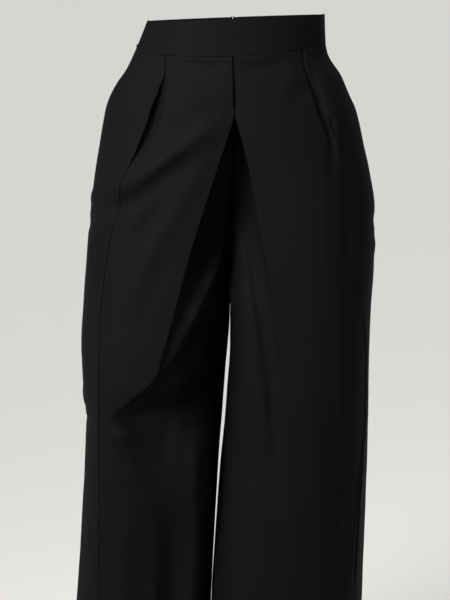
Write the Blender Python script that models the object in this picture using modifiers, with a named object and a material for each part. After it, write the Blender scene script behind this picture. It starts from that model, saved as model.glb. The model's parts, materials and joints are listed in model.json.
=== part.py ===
"""Palazzo pants in their worn shape: two front and two back leg panels, a contoured waistband in
three pieces, and a concealed zip at the centre back.

Metres. +Z is up, the front faces -Y, and the wearer's left leg is at +X. The origin is the middle
of the waist ring, at half the height of the waistband. Each cloth piece is one sheet that runs
through level section lines, thickened inwards, so all pieces keep a seam's gap to each other.
The wearer stands on the left leg, with the right knee bent: the waist leans up to the left.
"""

import math
from collections import namedtuple

import bmesh
import bpy
import numpy as np
from mathutils import Vector

# Driving sizes
CLOTH = 0.0015                # wall of a panel
BAND_CLOTH = 0.0025           # wall of the doubled, stiffened waistband
SEAM_GAP = 0.0003             # between two pieces where they are sewn
BAND_GAP = 0.0006             # between the waistband, whose edge slants, and the panels
BAND_TOP = 0.0262             # upper edge of the waistband
WAIST_SEAM = -0.0168          # waistband seam at the sides
WAIST_SEAM_DIP = 0.0089       # how much lower that seam is at the centre front
WAIST_DIP_HALF = {-1: 0.138, 1: 0.122}    # the dip ends this far out, at the side seams
PLEAT_APEX = -0.1085          # where the box pleat's stitching ends and the pleat opens
CROTCH = -0.310
KNEE_TOP = -0.440             # the drape over the bent knee, from here
KNEE_BOTTOM = -0.560          # to here
HEM = -1.020
HIP_LEAN = math.radians(2.1)  # the waist rises by this angle towards the straight leg
LEAN_END = -0.300             # below this height the sections are level

# The box pleat's inner fold, measured backwards from the front
STITCHED_DEPTH = 0.013        # at the waistband
APEX_DEPTH = 0.050            # where the pleat opens
SEAM_RUN = 0.004              # the sheets meet square at a seam for this length
SEAT_SEAM_START = -0.160      # from here the centre back seam curves forward to the crotch
RISE_SWEEP = 1.6              # how late the centre seams curve to the crotch
RISE_ROUND = 0.8              # and how round they end there
INNER_FALL = 0.10             # how far the front falls back towards the centre, by its width
SEAT_FALL = 0.06              # the same across the seat
SEAM_FADE = 0.020             # drape folds fade out this near to a seam
BACK_MIDDLE = 0.095           # middle of a back panel, out from the centre line

# Concealed zip at the centre back
ZIP_END = -0.148              # lower end of the opening
ZIP_SLOT = 0.0022             # slot between the two back edges over the zip
TAPE_TOP = 0.0225
TAPE_WIDTH = 0.012
TAPE_CLOTH = 0.0010
TAPE_GAP = 0.0010
SLIDER_Z = 0.0120             # the slider's height: the zip is closed
SLIDER_SIZE = (0.0060, 0.0022, 0.0090)
PIVOT_OUT = 0.0012            # the pull tab's pivot, out from the waistband's face
BAIL_RADIUS = 0.0023          # wire loop of the slider, round the pivot
BAIL_WIRE = 0.00045
PULL_WIDTH = 0.0052
PULL_LENGTH = 0.0200
PULL_THICKNESS = 0.0008
PULL_EYE_WIDTH = 0.0022       # window that the bail passes through
PULL_EYE_LENGTH = 0.0030
PULL_BAR = 0.0004             # half height of the bar above that window, on the pivot

# How the cloth stands round each leg, a row for a height: distance of the side from the centre
# line, depth where the side is widest, depth of the front and the back, distance of the front's
# and the back's foremost line from the centre line, and the section's squareness.
Hang = namedtuple("Hang", "z side side_y front_y back_y front_mid back_mid square")
RIGHT_HANG = [
    Hang(0.032, -0.1215, 0.000, -0.0885, 0.088, 0.000, 0.000, 2.00),
    Hang(-0.017, -0.1420, 0.000, -0.0950, 0.095, 0.000, 0.000, 2.00),
    Hang(-0.042, -0.1545, 0.000, -0.1010, 0.102, 0.002, 0.004, 2.02),
    Hang(-0.063, -0.1690, 0.002, -0.1055, 0.109, 0.006, 0.014, 2.05),
    Hang(-0.093, -0.1826, 0.004, -0.1110, 0.118, 0.018, 0.036, 2.10),
    Hang(-0.120, -0.1880, 0.005, -0.1150, 0.125, 0.032, 0.052, 2.12),
    Hang(-0.150, -0.1930, 0.006, -0.1180, 0.130, 0.050, 0.064, 2.15),
    Hang(-0.194, -0.1998, 0.006, -0.1215, 0.134, 0.072, 0.074, 2.20),
    Hang(-0.240, -0.2056, 0.004, -0.1250, 0.133, 0.088, 0.082, 2.25),
    Hang(-0.310, -0.2118, 0.000, -0.1310, 0.124, 0.102, 0.092, 2.30),
    Hang(-0.380, -0.2170, -0.004, -0.1400, 0.112, 0.108, 0.098, 2.35),
    Hang(-0.435, -0.2196, -0.008, -0.1480, 0.104, 0.112, 0.102, 2.40),
    Hang(-0.479, -0.2184, -0.008, -0.1500, 0.101, 0.116, 0.106, 2.40),
    Hang(-0.545, -0.2144, 0.000, -0.1350, 0.104, 0.118, 0.108, 2.30),
    Hang(-0.620, -0.2180, 0.010, -0.1180, 0.112, 0.120, 0.112, 2.25),
    Hang(-0.700, -0.2214, 0.018, -0.1050, 0.122, 0.124, 0.118, 2.20),
    Hang(-0.820, -0.2300, 0.026, -0.0920, 0.136, 0.130, 0.128, 2.20),
    Hang(-1.030, -0.2430, 0.034, -0.0800, 0.150, 0.140, 0.140, 2.20),
]
LEFT_HANG = [
    Hang(0.032, 0.1270, 0.000, -0.0885, 0.088, 0.000, 0.000, 2.00),
    Hang(-0.017, 0.1290, 0.000, -0.0950, 0.095, 0.000, 0.000, 2.00),
    Hang(-0.034, 0.1335, 0.000, -0.0990, 0.100, 0.001, 0.002, 2.02),
    Hang(-0.054, 0.1478, 0.002, -0.1035, 0.107, 0.005, 0.010, 2.05),
    Hang(-0.087, 0.1630, 0.004, -0.1100, 0.117, 0.018, 0.034, 2.10),
    Hang(-0.112, 0.1740, 0.005, -0.1140, 0.123, 0.032, 0.050, 2.12),
    Hang(-0.150, 0.1826, 0.006, -0.1180, 0.130, 0.050, 0.064, 2.15),
    Hang(-0.199, 0.1940, 0.006, -0.1210, 0.134, 0.068, 0.074, 2.20),
    Hang(-0.241, 0.2002, 0.004, -0.1230, 0.133, 0.078, 0.080, 2.25),
    Hang(-0.310, 0.1997, 0.000, -0.1250, 0.124, 0.086, 0.086, 2.30),
    Hang(-0.391, 0.1953, -0.002, -0.1250, 0.113, 0.090, 0.088, 2.35),
    Hang(-0.479, 0.1922, -0.003, -0.1240, 0.105, 0.092, 0.088, 2.35),
    Hang(-0.612, 0.1895, -0.004, -0.1220, 0.100, 0.094, 0.090, 2.35),
    Hang(-0.701, 0.1867, -0.005, -0.1205, 0.098, 0.096, 0.092, 2.30),
    Hang(-0.820, 0.1833, -0.006, -0.1190, 0.097, 0.098, 0.096, 2.30),
    Hang(-1.030, 0.1786, -0.006, -0.1170, 0.096, 0.102, 0.100, 2.30),
]

# The side seam's depth on that section: behind the widest line on the right leg, in front of it
# on the left one.
SideSeam = namedtuple("SideSeam", "z y")
RIGHT_SIDE_SEAM = [SideSeam(0.032, 0.010), SideSeam(-0.200, 0.020), SideSeam(-0.480, 0.014),
                   SideSeam(-0.800, 0.042), SideSeam(-1.030, 0.052)]
LEFT_SIDE_SEAM = [SideSeam(0.032, -0.012), SideSeam(-0.017, -0.022), SideSeam(-0.053, -0.046),
                  SideSeam(-0.118, -0.066), SideSeam(-0.200, -0.069), SideSeam(-0.275, -0.078),
                  SideSeam(-0.350, -0.072), SideSeam(-0.420, -0.058), SideSeam(-0.470, -0.047),
                  SideSeam(-0.550, -0.045), SideSeam(-0.630, -0.058), SideSeam(-0.720, -0.067),
                  SideSeam(-0.810, -0.071), SideSeam(-1.030, -0.070)]

# Centre line of the seat and front seams, and the two inseams below the crotch
Centre = namedtuple("Centre", "z x")
CENTRE_LINE = [Centre(0.032, -0.0030), Centre(-0.070, -0.0014), Centre(-0.109, -0.0002),
               Centre(-0.200, -0.0040), Centre(-0.310, -0.0070)]
Inseam = namedtuple("Inseam", "z x y")
RIGHT_INSEAM = [Inseam(-0.310, -0.0072, 0.000), Inseam(-0.335, -0.0068, 0.013),
                Inseam(-0.378, -0.0068, 0.016), Inseam(-0.406, -0.0073, 0.016),
                Inseam(-0.435, -0.0095, 0.014), Inseam(-0.494, -0.0146, 0.014),
                Inseam(-0.545, -0.0181, 0.016), Inseam(-0.597, -0.0224, 0.020),
                Inseam(-0.656, -0.0257, 0.025), Inseam(-0.716, -0.0288, 0.030),
                Inseam(-0.738, -0.0301, 0.032), Inseam(-0.820, -0.0342, 0.036),
                Inseam(-1.030, -0.0427, 0.042)]
LEFT_INSEAM = [Inseam(-0.310, -0.0068, 0.000), Inseam(-0.335, -0.0072, -0.013),
               Inseam(-0.378, -0.0068, -0.016), Inseam(-0.406, -0.0065, -0.014),
               Inseam(-0.435, -0.0065, -0.010), Inseam(-0.494, -0.0102, -0.008),
               Inseam(-0.545, -0.0139, -0.008), Inseam(-0.597, -0.0192, -0.009),
               Inseam(-0.656, -0.0238, -0.011), Inseam(-0.716, -0.0280, -0.013),
               Inseam(-0.738, -0.0297, -0.014), Inseam(-0.820, -0.0340, -0.016),
               Inseam(-1.030, -0.0425, -0.020)]

# Knife pleat at each side of the front: the folded edge, how far round the edge turns, how deep
# the cloth goes in behind it, how far it runs until it is back on the panel, and how proud the
# outer cloth stands.
SidePleat = namedtuple("SidePleat", "z edge turn depth reach proud")
RIGHT_SIDE_PLEAT = [
    SidePleat(-0.017, -0.0995, 35, 0.0010, 0.006, 0.0000),
    SidePleat(-0.045, -0.0996, 45, 0.0015, 0.006, 0.0005),
    SidePleat(-0.065, -0.1079, 80, 0.0070, 0.012, 0.0020),
    SidePleat(-0.090, -0.1177, 95, 0.0150, 0.019, 0.0045),
    SidePleat(-0.114, -0.1248, 95, 0.0160, 0.021, 0.0050),
    SidePleat(-0.141, -0.1346, 85, 0.0120, 0.020, 0.0040),
    SidePleat(-0.165, -0.1445, 60, 0.0050, 0.018, 0.0020),
    SidePleat(-0.190, -0.1550, 0, 0.0020, 0.018, 0.0000),
    SidePleat(-0.400, -0.1900, 0, 0.0000, 0.014, 0.0000),
    SidePleat(-0.560, -0.1930, 0, 0.0000, 0.012, 0.0000),
    SidePleat(-1.030, -0.1980, 0, 0.0000, 0.020, 0.0000),
]
LEFT_SIDE_PLEAT = [
    SidePleat(-0.017, 0.0980, 35, 0.0010, 0.006, 0.0000),
    SidePleat(-0.038, 0.1005, 45, 0.0015, 0.006, 0.0005),
    SidePleat(-0.061, 0.1108, 80, 0.0050, 0.010, 0.0020),
    SidePleat(-0.086, 0.1206, 90, 0.0085, 0.012, 0.0035),
    SidePleat(-0.111, 0.1291, 90, 0.0085, 0.013, 0.0035),
    SidePleat(-0.132, 0.1375, 75, 0.0060, 0.014, 0.0025),
    SidePleat(-0.160, 0.1425, 40, 0.0035, 0.016, 0.0010),
    SidePleat(-0.190, 0.1450, 0, 0.0030, 0.020, 0.0000),
    SidePleat(-0.400, 0.1480, 0, 0.0015, 0.022, 0.0000),
    SidePleat(-1.030, 0.1420, 0, 0.0000, 0.026, 0.0000),
]

# Inverted box pleat at the centre front, below its stitching: the folded edge, how far round it
# turns, how far the cloth runs straight back, the crown of the roll inside the pleat, and how
# full the inner leg is beyond that crown (0 is flat, 1 round).
BoxPleat = namedtuple("BoxPleat", "z edge turn depth roll_x roll_y full")
RIGHT_BOX_PLEAT = [
    BoxPleat(-0.1085, -0.0004, 90, 0.012, -0.0004, -0.091, 0.0),
    BoxPleat(-0.126, -0.0060, 92, 0.028, -0.0030, -0.081, 0.3),
    BoxPleat(-0.166, -0.0193, 95, 0.044, -0.0080, -0.067, 0.6),
    BoxPleat(-0.223, -0.0380, 100, 0.052, -0.0130, -0.056, 0.8),
    BoxPleat(-0.283, -0.0573, 100, 0.040, -0.0170, -0.066, 0.5),
    BoxPleat(-0.326, -0.0695, 95, 0.024, -0.0310, -0.092, 0.2),
    BoxPleat(-0.369, -0.0805, 90, 0.015, -0.0500, -0.112, 0.0),
    BoxPleat(-0.413, -0.0925, 85, 0.009, -0.0740, -0.130, 0.0),
    BoxPleat(-0.441, -0.1010, 75, 0.007, -0.0840, -0.134, 0.0),
    BoxPleat(-0.455, -0.1040, 75, 0.008, -0.0880, -0.131, 0.0),
    BoxPleat(-0.469, -0.1120, 85, 0.014, -0.0880, -0.116, 0.0),
    BoxPleat(-0.491, -0.1370, 85, 0.014, -0.1000, -0.110, 0.2),
    BoxPleat(-0.508, -0.1560, 70, 0.009, -0.1120, -0.112, 0.5),
    BoxPleat(-0.524, -0.1710, 35, 0.006, -0.1150, -0.116, 0.8),
    BoxPleat(-0.540, -0.1720, 0, 0.006, -0.1100, -0.119, 1.0),
    BoxPleat(-0.580, -0.1560, 0, 0.008, -0.0900, -0.117, 1.2),
    BoxPleat(-0.650, -0.1280, 0, 0.008, -0.0750, -0.107, 1.3),
    BoxPleat(-0.820, -0.1120, 0, 0.008, -0.0800, -0.089, 1.2),
    BoxPleat(-1.030, -0.1080, 0, 0.008, -0.0850, -0.077, 1.2),
]
LEFT_BOX_PLEAT = [
    BoxPleat(-0.1085, 0.0000, 90, 0.012, 0.0000, -0.091, 0.0),
    BoxPleat(-0.126, 0.0052, 92, 0.028, 0.0020, -0.081, 0.3),
    BoxPleat(-0.152, 0.0113, 95, 0.040, 0.0030, -0.071, 0.5),
    BoxPleat(-0.190, 0.0210, 100, 0.048, 0.0050, -0.060, 0.8),
    BoxPleat(-0.245, 0.0306, 100, 0.046, 0.0090, -0.057, 0.8),
    BoxPleat(-0.286, 0.0380, 95, 0.034, 0.0150, -0.074, 0.9),
    BoxPleat(-0.339, 0.0475, 90, 0.020, 0.0230, -0.098, 1.1),
    BoxPleat(-0.394, 0.0549, 85, 0.012, 0.0300, -0.112, 1.2),
    BoxPleat(-0.472, 0.0659, 75, 0.008, 0.0400, -0.115, 1.3),
    BoxPleat(-0.521, 0.0685, 70, 0.006, 0.0420, -0.115, 1.3),
    BoxPleat(-0.588, 0.0701, 60, 0.005, 0.0450, -0.115, 1.3),
    BoxPleat(-0.632, 0.0703, 40, 0.004, 0.0450, -0.116, 1.3),
    BoxPleat(-0.665, 0.0745, 0, 0.004, 0.0450, -0.118, 1.3),
    BoxPleat(-0.820, 0.0700, 0, 0.008, 0.0400, -0.116, 1.2),
    BoxPleat(-1.030, 0.0680, 0, 0.008, 0.0400, -0.113, 1.2),
]

# The largest drape folds: a line across the cloth as x, z from end to end, the fold's half width
# and its height, negative for a trough.
Fold = namedtuple("Fold", "line half_width height")
RIGHT_FRONT_FOLDS = [
    Fold([(-0.022, -0.118), (-0.066, -0.146), (-0.106, -0.174), (-0.138, -0.196), (-0.182, -0.210)],
         0.011, 0.0070),
    Fold([(-0.050, -0.150), (-0.096, -0.188), (-0.147, -0.226), (-0.190, -0.250)], 0.011, -0.0070),
    Fold([(-0.100, -0.215), (-0.141, -0.287)], 0.018, -0.0040),
]
RIGHT_INNER_FOLDS = [
    Fold([(-0.172, -0.536), (-0.160, -0.560), (-0.140, -0.605)], 0.010, 0.0060),
    Fold([(-0.140, -0.540), (-0.112, -0.560), (-0.104, -0.620)], 0.012, -0.0070),
    Fold([(-0.042, -0.545), (-0.052, -0.580), (-0.066, -0.660)], 0.014, 0.0070),
    Fold([(-0.086, -0.660), (-0.080, -0.720), (-0.085, -0.900)], 0.022, -0.0060),
]
LEFT_FRONT_FOLDS = [
    Fold([(0.158, -0.200), (0.160, -0.335)], 0.009, -0.0045),
    Fold([(0.105, -0.062), (0.082, -0.082)], 0.009, -0.0025),
    Fold([(0.120, -0.480), (0.118, -0.900)], 0.024, -0.0030),
]
LEFT_INNER_FOLDS = [
    Fold([(0.004, -0.540), (0.010, -0.620), (0.016, -0.760)], 0.008, -0.0035),
]
RIGHT_BACK_FOLDS = [
    Fold([(-0.060, -0.250), (-0.100, -0.340), (-0.150, -0.420)], 0.022, -0.0060),
    Fold([(-0.090, -0.470), (-0.130, -0.540), (-0.190, -0.580)], 0.020, -0.0070),
    Fold([(-0.150, -0.620), (-0.130, -1.030)], 0.026, 0.0060),
]
LEFT_BACK_FOLDS = [
    Fold([(0.050, -0.250), (0.085, -0.330), (0.130, -0.400)], 0.022, -0.0060),
    Fold([(0.070, -0.420), (0.080, -1.030)], 0.026, 0.0060),
    Fold([(0.140, -0.350), (0.135, -1.030)], 0.024, -0.0050),
]

# Columns and rows of the sheets
SIDE_COLUMNS = 5              # side seam to the side pleat
PLEAT_TURN_COLUMNS = 2
PLEAT_INNER_COLUMNS = 4
FRONT_COLUMNS = 7             # side pleat to the box pleat
BOX_TURN_COLUMNS = 3
BOX_INNER_COLUMNS = 10        # box pleat's edge to the centre seam or the inseam
BACK_OUTER_COLUMNS = 7        # side seam to the middle of the back panel
BACK_INNER_COLUMNS = 7        # on to the seat seam or the inseam
BAND_COLUMNS = 12             # a quarter of the waistband
YOKE_ROWS = 7                 # waist seam to the pleat's apex
RISE_ROWS = 12                # apex to crotch
THIGH_ROWS = 6                # crotch to the top of the knee's drape
KNEE_ROWS = 9                 # over the knee's drape
CALF_ROWS = 7                 # knee to hem
BAND_ROWS = 3
TAPE_ROWS = 12
TAPE_COLUMNS = 2
BAIL_SEGMENTS = 8
PULL_SEGMENTS = 8
RISE_CROWDING = 1.5           # rows stand closer at the crotch
SEAM_CROWDING = 1.6           # columns stand closer at a seam and at a folded edge
EDGE_CROWDING = 1.7
SEAM_END_CROWDING = 1.9
BACK_CROWDING = 1.35
BOTH_ENDS_CROWDING = 0.8
PLEAT_TURN_LENGTH = 0.0035    # cloth in the turn of a folded edge
BOX_TURN_LENGTH = 0.0047
FLAT_TURN = 0.1               # degrees; an edge turns at least this much

BLACK_CLOTH = (0.016, 0.0145, 0.015, 1.0)
BLACK_TAPE = (0.012, 0.012, 0.013, 1.0)
DARK_METAL = (0.05, 0.05, 0.055, 1.0)

Leg = namedtuple("Leg", "side hang side_seam inseam side_pleat box_pleat "
                        "front_folds inner_folds back_folds")
RIGHT = Leg(-1, RIGHT_HANG, RIGHT_SIDE_SEAM, RIGHT_INSEAM, RIGHT_SIDE_PLEAT, RIGHT_BOX_PLEAT,
            RIGHT_FRONT_FOLDS, RIGHT_INNER_FOLDS, RIGHT_BACK_FOLDS)
LEFT = Leg(1, LEFT_HANG, LEFT_SIDE_SEAM, LEFT_INSEAM, LEFT_SIDE_PLEAT, LEFT_BOX_PLEAT,
           LEFT_FRONT_FOLDS, LEFT_INNER_FOLDS, LEFT_BACK_FOLDS)


def read(table, column, z):
    """One column of a table at height z, on a smooth curve that never swings past its rows."""
    rows = sorted(table, key=lambda row: row.z)
    heights = np.array([row.z for row in rows])
    values = np.array([getattr(row, column) for row in rows])
    if z <= heights[0]:
        return float(values[0])
    if z >= heights[-1]:
        return float(values[-1])
    steps = np.diff(heights)
    slopes = np.diff(values) / steps
    tangents = np.zeros(len(values))
    tangents[0], tangents[-1] = slopes[0], slopes[-1]
    for i in range(1, len(values) - 1):
        if slopes[i - 1] * slopes[i] > 0:
            before, after = 2 * steps[i] + steps[i - 1], steps[i] + 2 * steps[i - 1]
            tangents[i] = (before + after) / (before / slopes[i - 1] + after / slopes[i])
    i = int(np.searchsorted(heights, z) - 1)
    t = (z - heights[i]) / steps[i]
    return float((2 * t**3 - 3 * t**2 + 1) * values[i] + (t**3 - 2 * t**2 + t) * steps[i] * tangents[i]
                 + (3 * t**2 - 2 * t**3) * values[i + 1] + (t**3 - t**2) * steps[i] * tangents[i + 1])


def ease(t):
    """0 to 1 with no slope at either end."""
    t = min(max(t, 0.0), 1.0)
    return t * t * (3 - 2 * t)


class SectionLine:
    """A line across the cloth at one height, read by the length from its first point."""

    def __init__(self, points):
        points = np.array(points, dtype=float)
        apart = np.linalg.norm(np.diff(points, axis=0), axis=1) > 1e-7
        self.points = points[np.concatenate(([True], apart))]
        run = np.linalg.norm(np.diff(self.points, axis=0), axis=1)
        self.at = np.concatenate(([0.0], np.cumsum(run)))
        self.length = float(self.at[-1])

    def point(self, at):
        return np.array([np.interp(at, self.at, self.points[:, i]) for i in range(2)])

    def heading(self, at, span=0.003):
        ends = [self.point(min(max(at + step, 0.0), self.length)) for step in (-span, span)]
        return (ends[1] - ends[0]) / np.linalg.norm(ends[1] - ends[0])

    def length_to_x(self, x, start):
        """Length at which the line, from its start length on, crosses x."""
        later = self.at >= start
        values, lengths = self.points[later, 0], self.at[later]
        if values[0] > values[-1]:
            values, lengths = values[::-1], lengths[::-1]
        return float(np.interp(x, values, lengths))


def outward(heading, side):
    """The outer side of a front line that runs from the side seam towards the centre."""
    return side * np.array((-heading[1], heading[0]))


def centre_edge(leg, z):
    """x of the edge at the centre seam or the inseam, half a seam's gap off the centre line."""
    if z >= CROTCH:
        return read(CENTRE_LINE, "x", z) + leg.side * SEAM_GAP / 2
    return read(leg.inseam, "x", z)


def oval_angle(leg, z, y):
    """Angle on the section from its widest line, towards the front, at depth y."""
    side_y, square = read(leg.hang, "side_y", z), read(leg.hang, "square", z)
    if y < side_y:
        share = (side_y - y) / (side_y - read(leg.hang, "front_y", z))
        return math.asin(share ** (square / 2))
    share = (y - side_y) / (read(leg.hang, "back_y", z) - side_y)
    return -math.asin(share ** (square / 2))


def oval(leg, z, start, end, count):
    """Points on the outer half of a section between two angles: 90 degrees is the front."""
    side, side_y = read(leg.hang, "side", z), read(leg.hang, "side_y", z)
    square = read(leg.hang, "square", z)
    centre = centre_edge(leg, z)
    mids = {part: centre + leg.side * read(leg.hang, part + "_mid", z) for part in ("front", "back")}
    widest = (mids["front"] + mids["back"]) / 2
    points = []
    for angle in np.linspace(start, end, count):
        part = "front" if angle >= 0 else "back"
        lift = abs(math.sin(angle))
        mid = widest + (mids[part] - widest) * lift
        x = mid + (side - mid) * math.cos(angle) ** (2 / square)
        y = side_y + (read(leg.hang, part + "_y", z) - side_y) * lift ** (2 / square)
        points.append((x, y))
    return points


def front_line(leg, z):
    """Front section from the side seam to the centre, before it is pleated."""
    seam = oval_angle(leg, z, read(leg.side_seam, "y", z))
    points = oval(leg, z, seam, math.pi / 2, 60)
    mid, front_y = points[-1]
    centre = centre_edge(leg, z)
    for k in np.linspace(0.05, 1.0, 20):
        points.append((mid + (centre - mid) * k, front_y + INNER_FALL * abs(centre - mid) * k * k))
    return SectionLine(points)


def back_line(leg, z):
    """Back section from the side seam to the seat seam or, below the crotch, to the inseam."""
    seam = oval_angle(leg, z, read(leg.side_seam, "y", z))
    points = oval(leg, z, seam, -math.pi / 2, 60)
    mid, back_y = points[-1]
    slot = (ZIP_SLOT - SEAM_GAP) / 2 * ease((z - ZIP_END) / 0.02)
    centre = centre_edge(leg, z) + leg.side * slot
    if z > CROTCH:
        flat_y = read(leg.hang, "back_y", max(z, SEAT_SEAM_START)) - SEAT_FALL * abs(mid - centre)
        down = max((SEAT_SEAM_START - z) / (SEAT_SEAM_START - CROTCH), 0.0)
        seam_y = SEAM_GAP / 2 + flat_y * (1 - down**RISE_SWEEP) ** RISE_ROUND
    else:
        seam_y = read(leg.inseam, "y", z) + SEAM_GAP / 2
    square = read(leg.hang, "square", z)
    cupped = ease((SEAT_SEAM_START + 0.01 - z) / 0.08)
    for angle in np.linspace(0.0, math.pi / 2, 30)[1:]:
        across = math.sin(angle) ** (2 / square)
        flat = seam_y + (back_y - seam_y) * (0.5 + 0.5 * math.cos(math.pi * across))
        curved = seam_y + (back_y - seam_y) * math.cos(angle) ** (2 / square)
        points.append((mid + (centre - mid) * across, flat + (curved - flat) * cupped))
    return SectionLine(points)


def fold_height(folds, x, z):
    """Sum of the drape folds at a place on the cloth."""
    total = 0.0
    for fold in folds:
        line = np.array(fold.line)
        best, along = 1e9, 0.0
        for i, (a, b) in enumerate(zip(line[:-1], line[1:])):
            t = np.clip(np.dot((x, z) - a, b - a) / np.dot(b - a, b - a), 0.0, 1.0)
            distance = float(np.linalg.norm((x, z) - (a + t * (b - a))))
            if distance < best:
                best, along = distance, (i + t) / (len(line) - 1)
        fade = ease(along / 0.2) * ease((1 - along) / 0.2) * 0.8 + 0.2
        total += fold.height * fade * math.exp(-((best / fold.half_width) ** 2))
    return total


def turned(start, heading, normal, angle, length, count):
    """Points round a folded edge, and the heading after it. A flat edge just runs on."""
    radius = length / angle
    points = []
    for k in range(1, count + 1):
        part = angle * k / count
        points.append(start + heading * radius * math.sin(part)
                      - normal * radius * (1 - math.cos(part)))
    return points, heading * math.cos(angle) - normal * math.sin(angle)


def bezier(a, b, c, d, count=24):
    return [((1 - t)**3) * a + 3 * t * (1 - t)**2 * b + 3 * t * t * (1 - t) * c + t**3 * d
            for t in np.linspace(0, 1, count)]


def seam_to_seam(count):
    """Shares of a line from 0 to 1, closer together at both ends."""
    return [k / count - BOTH_ENDS_CROWDING * math.sin(2 * math.pi * k / count) / (2 * math.pi)
            for k in range(count + 1)]


def spaced(points, count, crowding):
    """Points along a curve, the first one left out, closer together at its start."""
    line = SectionLine(points)
    return [line.point(line.length * (k / count) ** crowding) for k in range(1, count + 1)]


def box_pleat_at(leg, z, edge_y):
    """The box pleat's row at height z; above the apex it is stitched shut along the centre."""
    if z >= PLEAT_APEX:
        edge = centre_edge(leg, z)
        share = (WAIST_SEAM - z) / (WAIST_SEAM - PLEAT_APEX)
        depth = STITCHED_DEPTH + (APEX_DEPTH - STITCHED_DEPTH) * share
        turn_depth = BOX_TURN_LENGTH * 2 / math.pi
        roll_y = edge_y + turn_depth + (depth - turn_depth) * 0.5
        return BoxPleat(z, edge, 90, (depth - turn_depth) * 0.3, edge, roll_y, 0.0)
    return BoxPleat(z, *(read(leg.box_pleat, name, z) for name in BoxPleat._fields[1:]))


def front_seam_depth(leg, z, edge_y):
    """Depth of the centre front seam, down to the crotch, and of the inseam below it."""
    if z >= PLEAT_APEX:
        share = (WAIST_SEAM - z) / (WAIST_SEAM - PLEAT_APEX)
        return edge_y + STITCHED_DEPTH + (APEX_DEPTH - STITCHED_DEPTH) * share
    inseam_y = read(leg.inseam, "y", z)
    if z > CROTCH:
        apex_y = read(leg.hang, "front_y", PLEAT_APEX) + APEX_DEPTH
        down = (PLEAT_APEX - z) / (PLEAT_APEX - CROTCH)
        return inseam_y - SEAM_GAP / 2 + apex_y * (1 - down**RISE_SWEEP) ** RISE_ROUND
    return inseam_y - SEAM_GAP / 2


def front_section(leg, z):
    """Points of a front panel at one height, from the side seam to the centre."""
    line = front_line(leg, z)
    seam_start = SEAM_GAP / 2
    front_half = float(line.at[int(np.argmin(line.points[:, 0] * -leg.side))])

    def cloth(at, proud=0.0):
        place, heading = line.point(at), line.heading(at)
        normal = outward(heading, leg.side)
        lift = fold_height(leg.front_folds, place[0], z) * ease(at / SEAM_FADE)
        return place + normal * (lift + proud)

    # The side pleat's folded edge
    pleat = SidePleat(z, *(read(leg.side_pleat, name, z) for name in SidePleat._fields[1:]))
    pleat_at = line.length_to_x(pleat.edge, front_half)
    points = []
    for k in range(SIDE_COLUMNS + 1):
        at = seam_start + (pleat_at - seam_start) * (k / SIDE_COLUMNS) ** SEAM_CROWDING
        proud = pleat.proud * math.exp(-((pleat_at - at) / 0.016) ** 2)
        points.append(cloth(at, proud))
    heading = line.heading(pleat_at)
    normal = outward(heading, leg.side)
    turn_angle = math.radians(max(pleat.turn, FLAT_TURN))
    turn, inward = turned(points[-1], heading, normal, turn_angle,
                          PLEAT_TURN_LENGTH, PLEAT_TURN_COLUMNS)
    points += turn
    reach_at = pleat_at + PLEAT_TURN_LENGTH + pleat.reach
    landing = cloth(reach_at)
    deepest = landing - line.heading(reach_at) * pleat.reach * 0.5 - normal * pleat.depth * 0.6
    inner = bezier(points[-1], points[-1] + inward * pleat.depth * 1.3, deepest, landing)
    points += spaced(inner, PLEAT_INNER_COLUMNS, 1.2)

    # On to the box pleat's folded edge
    box = box_pleat_at(leg, z, line.points[-1][1])
    turn_angle = math.radians(max(box.turn, FLAT_TURN))
    turn_run = BOX_TURN_LENGTH / turn_angle * math.sin(min(turn_angle, math.pi / 2))
    edge_at = line.length_to_x(box.edge, front_half) - turn_run
    for k in range(1, FRONT_COLUMNS + 1):
        points.append(cloth(reach_at + (edge_at - reach_at) * k / FRONT_COLUMNS))
    heading = line.heading(edge_at)
    turn, inward = turned(points[-1], heading, outward(heading, leg.side), turn_angle,
                          BOX_TURN_LENGTH, BOX_TURN_COLUMNS)
    points += turn

    # Into the pleat, over its inner roll, and back to the seam
    roll = np.array((box.roll_x, box.roll_y))
    to_roll = abs(box.roll_x - points[-1][0])
    towards_centre = np.array((-float(leg.side), 0.0))
    inner = bezier(points[-1], points[-1] + inward * box.depth,
                   roll - towards_centre * to_roll * 0.45, roll)
    seam = np.array((centre_edge(leg, z), front_seam_depth(leg, z, line.points[-1][1])))
    square_end = seam - (0.0, min(SEAM_RUN, 0.4 * (seam[1] - roll[1])))
    across, back = square_end - roll
    inner += bezier(roll, roll + (0.55 * box.full * across, 0.0),
                    square_end - (0.0, (0.12 + 0.43 * box.full) * back), square_end)[1:]
    inner_line = SectionLine(inner + [seam])
    for k in range(1, BOX_INNER_COLUMNS + 1):
        share = 1 - (1 - (k / BOX_INNER_COLUMNS) ** EDGE_CROWDING) ** SEAM_END_CROWDING
        at = inner_line.length * share
        place, normal = inner_line.point(at), outward(inner_line.heading(at), leg.side)
        lift = fold_height(leg.inner_folds, place[0], z) * ease((inner_line.length - at) / SEAM_FADE)
        points.append(place + normal * lift)
    return points


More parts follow.
